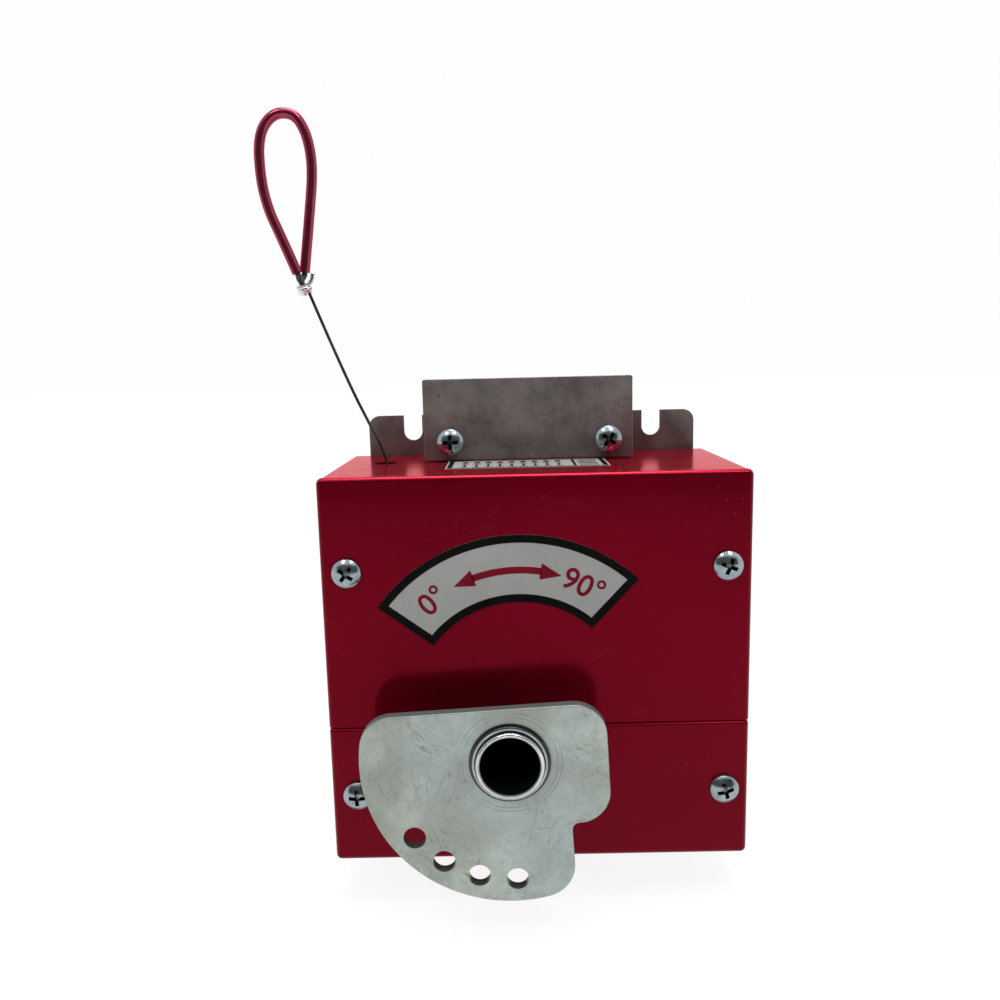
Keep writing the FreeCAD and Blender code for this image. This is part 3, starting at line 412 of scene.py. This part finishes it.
def zinc():
    """Zinc-plated plate: mottled grey-green, stained, scratched every way and worn in rings
    round the shaft, with painted shade in a dark ring next to the collar and on its cut edges and
    hole walls."""
    paint = Paint("zinc_plate", Metallic=0.55)
    cloud = paint.noise(75.0, 6.0, 0.68, distortion=0.6)
    fine = paint.noise(420.0, 4.0, 0.7)
    tint = paint.noise(30.0, 2.0, 0.5, paint.stretched(shift=(4.1, 2.4, 0.2)))
    base = paint.mix(paint.range(cloud, 0.34, 0.66), (0.235, 0.265, 0.24), (0.50, 0.55, 0.485))
    base = paint.mix(paint.range(tint, 0.42, 0.62, 0.0, 0.5), base, (0.39, 0.47, 0.50))
    base = paint.mix(paint.range(fine, 0.46, 0.72, 0.0, 0.5), base, (0.27, 0.30, 0.27))
    blots = paint.range(paint.noise(38.0, 1.5, 0.4, paint.stretched(shift=(1.3, 0.4, 2.2))),
                        0.53, 0.62, 0.0, 0.6)
    base = paint.mix(blots, base, (0.30, 0.31, 0.275))
    pits = paint.range(paint.cells(330.0), 0.04, 0.12, 1.0, 0.0)
    few = paint.range(paint.noise(110.0, 2.0), 0.50, 0.60)
    marks = paint.maths("MULTIPLY", pits, few)
    for turn, scale, thin, seed in ((0.3, 85.0, 0.012, 1.0), (-0.7, 95.0, 0.018, 7.0),
                                    (1.9, 80.0, 0.018, 11.0), (1.2, 105.0, 0.018, 4.0),
                                    (-1.3, 90.0, 0.018, 15.0)):
        marks = paint.maths("MAXIMUM", marks, paint.scratches(turn, scale, thin, seed))
    base = paint.mix(paint.maths("MULTIPLY", marks, 0.66), base, (0.12, 0.14, 0.135))
    away = paint.axis_distance()
    worn = paint.range(paint.noise(60.0, 3.0), 0.42, 0.55)
    rings = paint.maths("MAXIMUM", paint.band(away, 0.0125, 0.0126, 0.00012),
                        paint.band(away, 0.0136, 0.0137, 0.00012))
    base = paint.mix(paint.maths("MULTIPLY", paint.maths("MULTIPLY", rings, worn), 0.6),
                     base, (0.14, 0.16, 0.16))
    # Painted shade: a dark ring 10.0 to 10.6 mm from the axis, a contact shadow where the collar
    # meets the plate.
    base = paint.mix(paint.band(away, 0.0100, 0.0106, 0.0003), base, (0.05, 0.055, 0.055))
    # Painted shade: the cut edges and the walls of the holes are darkened.
    paint.base(paint.mix(paint.front_facing(), (0.17, 0.185, 0.18), base))
    paint.rough(paint.range(cloud, 0.3, 0.7, 0.30, 0.44))
    paint.bump(paint.noise(520.0, 3.0), 0.14, 0.00006)
    paint.bump(marks, 0.15, 0.00004)
    return paint.material


def shaft_steel():
    """Turned steel whose bore is painted black as shade, and whose outer rim is painted darker as
    shade by the gap to the collar.
    """
    paint = Paint("shaft_steel")
    away = paint.axis_distance()
    cloud = paint.noise(180.0, 4.0, 0.6)
    base = paint.mix(paint.range(cloud, 0.3, 0.7), (0.42, 0.45, 0.45), (0.72, 0.76, 0.76))
    # Painted shade: inside the bore the colour is near black and the surface matt, without metal
    # shine or specular.
    outside = paint.range(away, 0.0078, 0.0083)
    base = paint.mix(outside, (0.004, 0.005, 0.005), base)
    # Painted shade: darker beyond 8.9 mm from the axis, by the gap to the collar.
    paint.base(paint.mix(paint.range(away, 0.00885, 0.0090), base, (0.16, 0.165, 0.165)))
    paint.rough(paint.range(outside, 0.0, 1.0, 0.9, 0.2))
    paint.feed("Metallic", paint.range(outside, 0.0, 1.0, 0.0, 0.9))
    paint.feed("Specular IOR Level", paint.range(outside, 0.0, 1.0, 0.0, 0.5))
    paint.bump(paint.noise(700.0, 2.0, 0.5, paint.stretched(0.12, 1.0, 0.12)), 0.2, 0.00005)
    return paint.material


def collar_steel():
    """A pressed collar: two edges darkened as painted shade, the gap to the shaft and the outer rim,
    with a brighter crest between them.
    """
    paint = Paint("collar_steel", Metallic=0.9)
    away = paint.axis_distance()
    cloud = paint.noise(220.0, 4.0, 0.6)
    base = paint.mix(paint.range(cloud, 0.3, 0.7), (0.26, 0.28, 0.28), (0.50, 0.53, 0.53))
    # Painted shade: a near-black band at the gap to the shaft.
    base = paint.mix(paint.band(away, 0.0089, 0.00925, 0.0001), base, (0.02, 0.02, 0.022))
    # Painted shade: the outer rim is darkened.
    paint.base(paint.mix(paint.band(away, 0.00985, 0.0106, 0.0001), base, (0.06, 0.065, 0.066)))
    paint.rough(paint.range(cloud, 0.3, 0.7, 0.18, 0.30))
    paint.bump(cloud, 0.10, 0.00005)
    return paint.material


def screw_zinc():
    """Bright zinc, smudged, and dark wherever little light gets in, as in the recess."""
    paint = Paint("bright_screw", Metallic=0.9)
    cloud = paint.noise(260.0, 4.0, 0.6)
    base = paint.mix(paint.range(cloud, 0.3, 0.7), (0.22, 0.27, 0.29), (0.38, 0.44, 0.47))
    grime = paint.range(paint.noise(700.0, 3.0), 0.56, 0.70, 0.0, 0.5)
    base = paint.mix(grime, base, (0.12, 0.14, 0.15))
    open_air = paint.add("ShaderNodeAmbientOcclusion", {"Distance": 0.0016},
                         samples=8, only_local=True).outputs["AO"]
    recess = paint.range(open_air, 0.62, 0.84, 1.0, 0.0)
    paint.base(paint.mix(recess, base, (0.008, 0.010, 0.013)))
    paint.rough(paint.maths("MAXIMUM", paint.range(cloud, 0.25, 0.75, 0.12, 0.24),
                            paint.range(recess, 0.0, 1.0, 0.0, 0.7)))
    paint.bump(paint.noise(500.0, 2.0), 0.10, 0.00005)
    return paint.material


def plain_metal(name, dark, light, roughness, turned=0.0):
    """Bare or plated metal with clouding, grime and, where asked, fine turning marks."""
    paint = Paint(name, Metallic=1.0)
    cloud = paint.noise(140.0, 4.0, 0.6)
    base = paint.mix(paint.range(cloud, 0.3, 0.7), dark, light)
    grime = paint.range(paint.noise(420.0, 2.0), 0.60, 0.72, 0.0, 0.45)
    paint.base(paint.mix(grime, base, tuple(value * 0.35 for value in dark)))
    paint.rough(paint.range(cloud, 0.25, 0.75, roughness * 0.8, roughness * 1.25))
    if turned:
        lines = paint.noise(700.0, 2.0, 0.5, paint.stretched(0.12, 1.0, 0.12))
        paint.bump(lines, turned, 0.00005)
    return paint.material


def moulding(name, dark, light, roughness, grain=900.0, strength=0.12):
    """Plastic, rubber or tape with a fine grain."""
    paint = Paint(name, Specular_IOR_Level=0.45)
    cloud = paint.noise(120.0, 3.0)
    paint.base(paint.mix(paint.range(cloud, 0.3, 0.7), dark, light))
    paint.rough(paint.range(paint.noise(300.0, 2.0), 0.3, 0.7, roughness * 0.85, roughness * 1.15))
    paint.bump(paint.noise(grain, 2.0), strength, 0.00005)
    return paint.material


def film(name, dark, light, roughness=0.32, shine=0.5):
    """A label's film or its print, slightly smudged."""
    paint = Paint(name, Specular_IOR_Level=shine, Coat_Weight=0.15 * shine, Coat_Roughness=0.12)
    base = paint.mix(paint.range(paint.noise(70.0, 3.0), 0.3, 0.7), dark, light)
    smudge = paint.range(paint.noise(160.0, 4.0, 0.65), 0.62, 0.76, 0.0, 0.35)
    paint.base(paint.mix(smudge, base, tuple(value * 0.72 for value in dark)))
    paint.rough(paint.range(paint.noise(240.0, 2.0), 0.3, 0.7, roughness * 0.85, roughness * 1.2))
    paint.bump(paint.noise(260.0, 2.0), 0.05, 0.00006)
    return paint.material


def sleeve():
    """Clear crimson tube: dark in the middle, glowing towards its edges."""
    paint = Paint("red_sleeve", Metallic=0.85, Specular_Tint=(0.70, 0.16, 0.28),
                  Coat_Weight=0.22, Coat_Roughness=0.10)
    cloud = paint.noise(150.0, 3.0)
    paint.base(paint.mix(paint.range(cloud, 0.3, 0.7), (0.260, 0.032, 0.066), (0.340, 0.042, 0.088)))
    paint.rough(paint.range(paint.noise(360.0, 3.0), 0.3, 0.7, 0.16, 0.26))
    paint.bump(paint.noise(240.0, 2.0, place=paint.stretched(1.0, 1.0, 0.3)), 0.10, 0.0001)
    return paint.material


def make_materials():
    """Every material, by name, and each CAD node given its own."""
    made = {
        "red_enamel": red_enamel(), "galvanised_sheet": galvanised(), "zinc_plate": zinc(),
        "bright_screw": screw_zinc(),
        "machined_steel": plain_metal("machined_steel", (0.36, 0.37, 0.37), (0.62, 0.63, 0.62),
                                      0.20, 0.25),
        "spring_steel": plain_metal("spring_steel", (0.16, 0.16, 0.17), (0.28, 0.28, 0.29), 0.30),
        "bronze": plain_metal("bronze", (0.36, 0.22, 0.09), (0.50, 0.33, 0.15), 0.38, 0.2),
        "wire_rope": plain_metal("wire_rope", (0.035, 0.030, 0.032), (0.085, 0.075, 0.078), 0.42),
        "knot_wire": plain_metal("knot_wire", (0.50, 0.50, 0.50), (0.78, 0.78, 0.78), 0.22),
        "brass_contacts": plain_metal("brass_contacts", (0.48, 0.36, 0.14), (0.66, 0.52, 0.24),
                                      0.30),
        "label_film": film("label_film", (0.31, 0.31, 0.30), (0.36, 0.36, 0.35)),
        "red_sleeve": sleeve(),
        "coil_tape": moulding("coil_tape", (0.52, 0.38, 0.05), (0.66, 0.50, 0.09), 0.4, 260.0, 0.3),
        "black_moulding": moulding("black_moulding", (0.012, 0.012, 0.014), (0.03, 0.03, 0.034),
                                   0.45),
        "black_rubber": moulding("black_rubber", (0.010, 0.010, 0.010), (0.028, 0.028, 0.028),
                                 0.7, 600.0, 0.3),
        "grey_moulding": moulding("grey_moulding", (0.33, 0.36, 0.34), (0.45, 0.48, 0.46), 0.5),
    }
    for row in frame["record"]["subparts"]:
        node = NODES[row["node"]]
        node.data.materials.clear()
        node.data.materials.append(made[row["material_slot"]])
        node.data.polygons.foreach_set("material_index", [0] * len(node.data.polygons))
    for name, paint in (("output_shaft", shaft_steel()), ("hub_collar", collar_steel())):
        NODES[name].data.materials[0] = paint
    made["print_black"] = film("print_black", (0.0015, 0.0015, 0.0018), (0.004, 0.004, 0.0045), 0.6,
                               0.06)
    made["print_red"] = film("print_red", (0.15, 0.002, 0.012), (0.21, 0.004, 0.018), 0.5, 0.08)
    return made


def dress(piece, body, material):
    """Give a piece its material and the body it moves with."""
    piece.data.materials.clear()
    piece.data.materials.append(material)
    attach(piece, body)
    return piece


# ---- pull wire, knot and loop ----

WIRE = ((-0.0352, -0.0250, 0.0263), (-0.0352, -0.0250, 0.0690), (-0.0352, -0.0250, 0.0736),
        (-0.0370, -0.0250, 0.0786), (-0.0389, -0.0250, 0.0827), (-0.0465, -0.0250, 0.0990),
        (-0.0561, -0.0250, 0.1242))
LOOP = ((-0.0590, -0.0263, 0.1299), (-0.0636, -0.0260, 0.1414), (-0.0663, -0.0259, 0.1476),
        (-0.0682, -0.0256, 0.1564), (-0.0682, -0.0253, 0.1686), (-0.0638, -0.0251, 0.1745),
        (-0.0579, -0.0249, 0.1745), (-0.0549, -0.0247, 0.1702), (-0.0535, -0.0245, 0.1638),
        (-0.0535, -0.0243, 0.1576), (-0.0544, -0.0241, 0.1504), (-0.0574, -0.0237, 0.1303))


WIRE_RADIUS, STRAND_RADIUS, STRAND_CENTRE, STRAND_PITCH, STRANDS = (
    0.00045, 0.00014, 0.00033, 0.0075, 6)
SLEEVE_RADIUS = 0.0015
SLEEVE_MOUTH = (-0.0583, -0.0250, 0.1300)
LEG_RADIUS, WRAP_RADIUS, TAIL_RADIUS, STUB_RADIUS = 0.00085, 0.00082, 0.00058, 0.00050


def knot_lines(run):
    """Lines of the knot under the sleeve: the wire's two legs out of the sleeve's cut ends, which
    twist together, then the wraps round them, the wraps' tail and the wire's own stub."""
    tip = Vector(WIRE[-1])
    up = (Vector(SLEEVE_MOUTH) - tip).normalized()
    side = up.orthogonal().normalized()
    other = up.cross(side)
    heart = tip + up * 0.0009 + Vector((-0.0009, 0.0, 0.0))
    legs = []
    for end, inner, sign in ((run[0], run[3], -1.0), (run[-1], run[-4], 1.0)):
        into = (inner - end).normalized()
        legs.append(centreline_of([
            end + into * 0.0020, end, end - into * 0.0010,
            heart + up * 0.0034 + other * 0.0004 * sign + Vector((0.0006 * sign, 0.0, 0.0)),
            heart + up * 0.0020 - other * 0.0006 * sign - Vector((0.0005 * sign, 0.0, 0.0)),
            heart + up * 0.0004]))
    last_turn, wrap_height = 9.0, 0.0020
    wraps = centreline_of([heart + (side * math.cos(turn) + other * math.sin(turn)) * 0.0013
                           + up * (wrap_height * turn / last_turn - 0.0008)
                           for turn in [last_turn * step / 18 for step in range(19)]])
    tail = centreline_of([wraps[-1]] + [heart + Vector(place) for place in (
        (0.0010, -0.0012, 0.0012), (0.0019, -0.0010, 0.0021), (0.0026, -0.0008, 0.0033),
        (0.0027, -0.0006, 0.0046))])
    stub = centreline_of([heart + Vector(place) for place in (
        (0.0002, -0.0012, -0.0004), (0.0013, -0.0013, 0.0002), (0.0021, -0.0010, 0.0006))])
    return legs, wraps, tail, stub


def make_pull_wire(materials):
    wire = smooth_curve("wire", WIRE, WIRE_RADIUS)
    line = centreline(wire)
    lays = [helix_about(line, STRAND_CENTRE, STRAND_PITCH, 2 * math.pi * number / STRANDS)
            for number in range(STRANDS)]
    strands = tube_mesh("wire_strands", lays, [STRAND_RADIUS] * STRANDS, 6)
    loop = smooth_curve("loop", LOOP, SLEEVE_RADIUS, 12)
    legs, wraps, tail, stub = knot_lines(centreline(loop))
    twist = tube_mesh("loop_wires", legs, [LEG_RADIUS] * 2, 10)
    knot = tube_mesh("knot_wraps", [wraps, tail, stub], [WRAP_RADIUS, TAIL_RADIUS, STUB_RADIUS], 12)
    for piece, slot in ((wire, "wire_rope"), (strands, "wire_rope"), (loop, "red_sleeve"),
                        (twist, "wire_rope"), (knot, "knot_wire")):
        dress(piece, "pull", materials[slot])
    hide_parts("pull_wire")
    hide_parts("loop_sleeve")
    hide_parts("wire_knot")


# ---- printed labels, in millimetres ----

LABEL_CENTRE = (3.3, 9.6)
LABEL_FRONT = -58.75
PRINT = 0.03
STROKE_GAIN = 0.10
ARROW_MIDDLE, ARROW_HALF_WIDTH, HEAD_HALF_WIDTH = 37.85, 0.95, 2.3
ARROW_START, ARROW_END, ARROW_STEPS = 80.5, 109.2, 24


def printed_words(name, words, size, radius, degrees):
    """Dial numerals set along the label's arc."""
    data = bpy.data.curves.new(name, "FONT")
    data.body = words
    data.size = size * MM
    data.align_x = "CENTER"
    data.align_y = "CENTER"
    data.extrude = PRINT / 2 * MM
    data.offset = STROKE_GAIN * MM
    data.resolution_u = 6
    text = link(bpy.data.objects.new(name, data))
    u, v = arc_point(LABEL_CENTRE, radius, degrees)
    turn = math.radians(degrees - 90.0)
    text.matrix_world = (Matrix.Translation((u * MM, (LABEL_FRONT - PRINT / 2) * MM, v * MM))
                         @ Matrix.Rotation(-turn, 4, "Y")
                         @ Matrix.Rotation(math.radians(90.0), 4, "X"))
    bpy.context.view_layer.update()
    mesh = bpy.data.meshes.new_from_object(text)
    mesh.transform(text.matrix_world)
    bpy.data.objects.remove(text)
    bpy.data.curves.remove(data)
    mesh.name = name
    return link(bpy.data.objects.new(name, mesh))


def make_arc_label(materials):
    start, end = 46.8, 143.8
    outer = sector_outline(LABEL_CENTRE, 29.0, 47.6, 0.0, start, end)
    inner = sector_outline(LABEL_CENTRE, 31.2, 45.4, 2.2, start, end)
    border = flat_ring("label_border", outer, inner, LABEL_FRONT, PRINT)
    turns = [ARROW_START + (ARROW_END - ARROW_START) * n / ARROW_STEPS
             for n in range(ARROW_STEPS + 1)]
    shaft = [arc_point(LABEL_CENTRE, ARROW_MIDDLE + ARROW_HALF_WIDTH, turn) for turn in turns]
    back = [arc_point(LABEL_CENTRE, ARROW_MIDDLE - ARROW_HALF_WIDTH, turn) for turn in turns[::-1]]
    arrow = flat_shape("label_arrow_shaft", shaft + back, LABEL_FRONT, PRINT, "front")
    heads = [flat_shape("label_arrow_" + side,
                        [arc_point(LABEL_CENTRE, ARROW_MIDDLE, tip),
                         arc_point(LABEL_CENTRE, ARROW_MIDDLE + HEAD_HALF_WIDTH, base),
                         arc_point(LABEL_CENTRE, ARROW_MIDDLE - HEAD_HALF_WIDTH, base)],
                        LABEL_FRONT, PRINT, "front")
             for side, tip, base in (("left", 117.6, 108.7), ("right", 71.9, 80.8))]
    dress(border, "housing", materials["print_black"])
    words = [printed_words("label_numeral_left", "0°", 8.6, 37.6, 128.1),
             printed_words("label_numeral_right", "90°", 8.6, 37.4, 62.1)]
    for piece in [arrow, *heads, *words]:
        dress(piece, "housing", materials["print_red"])


def make_strip_label(materials):
    """The top label's border, a dividing line and rows of plain bars in place of print."""
    left, right, front, rear, level = -16.6, 30.2, -43.9, -25.7, 73.55
    bars = [(left + 0.5, right - 0.5, front + 0.5, front + 1.1),
            (left + 0.5, right - 0.5, rear - 1.1, rear - 0.5),
            (left + 0.5, left + 1.9, front + 0.5, rear - 0.5),
            (right - 1.9, right - 0.5, front + 0.5, rear - 0.5),
            (right - 10.2, right - 9.4, front + 1.1, rear - 1.1)]
    for number in range(9):
        x = left + 4.2 + number * 3.4
        bars += [(x, x + 2.3, -41.9, -41.2), (x + 0.8, x + 1.5, -40.3, -35.5),
                 (x, x + 2.3, -34.5, -33.9), (x + 0.4, x + 1.9, -32.3, -28.9)]
    for row in range(4):
        bars.append((right - 8.4, right - 3.0, front + 2.8 + row * 3.5, front + 4.3 + row * 3.5))
    verts, faces = [], []
    for x0, x1, y0, y1 in bars:
        first = len(verts)
        for z in (level, level + PRINT):
            verts += [(x * MM, y * MM, z * MM) for x, y in ((x0, y0), (x1, y0), (x1, y1), (x0, y1))]
        faces += [tuple(first + n for n in face) for face in (
            (3, 2, 1, 0), (4, 5, 6, 7), (0, 1, 5, 4), (1, 2, 6, 5), (2, 3, 7, 6), (3, 0, 4, 7))]
    marks = mesh_from("strip_marks", verts, faces, smooth=False)
    dress(marks, "housing", materials["print_black"])


# ---- floor and light ----

def plane_at(name, corners):
    return mesh_from(name, corners, [(0, 1, 2, 3)], smooth=False)


def make_stage():
    """White floor and world, and an unseen dark card in front that keeps the front face dim."""
    low = CAD_BOX[0].z
    floor = plane_at("floor", [(-6, -6, low), (6, -6, low), (6, 6, low), (-6, 6, low)])
    pale = Paint("pale_floor", Roughness=0.9, Specular_IOR_Level=0.2, Emission_Color=(1.0, 1.0, 1.0),
                 Emission_Strength=0.90)
    pale.base(pale.mix(pale.range(pale.noise(3.0), 0.3, 0.7), (0.11, 0.11, 0.11),
                       (0.12, 0.12, 0.12)))
    floor.data.materials.append(pale.material)
    dark = Paint("dark_card", Roughness=1.0)
    dark.base(dark.mix(dark.range(dark.noise(2.0), 0.3, 0.7), (0.02, 0.02, 0.02),
                       (0.03, 0.03, 0.03)))
    card = plane_at("dark_card", [(-1.3, -0.75, low + 0.01), (1.3, -0.75, low + 0.01),
                                  (1.3, -0.70, 0.75), (-1.3, -0.70, 0.75)])
    card.data.materials.append(dark.material)
    card.visible_camera = False
    card.visible_shadow = False
    world = bpy.data.worlds.new("studio")
    bpy.context.scene.world = world
    world.use_nodes = True
    world.node_tree.nodes["Background"].inputs[0].default_value = (1.0, 1.0, 1.0, 1.0)
    world.node_tree.nodes["Background"].inputs[1].default_value = 0.99
    for name, place, size, power in (("key_left", (-0.36, -0.45, 0.85), 0.20, 1.35),
                                     ("key_right", (0.32, -0.42, 0.88), 0.20, 1.35),
                                     ("top_fill", (0.02, 0.05, 0.95), 0.45, 6.5)):
        data = bpy.data.lights.new(name, "AREA")
        data.shape, data.size, data.energy = "SQUARE", size, power
        lamp = link(bpy.data.objects.new(name, data))
        aim = Vector((0.0, -0.03, 0.03)) - Vector(place)
        lamp.matrix_world = (Matrix.Translation(place)
                             @ aim.to_track_quat("-Z", "Y").to_matrix().to_4x4())
    bpy.context.scene.view_settings.view_transform = "Standard"


make_camera()
MATERIALS = make_materials()
make_pull_wire(MATERIALS)
make_arc_label(MATERIALS)
make_strip_label(MATERIALS)
make_stage()
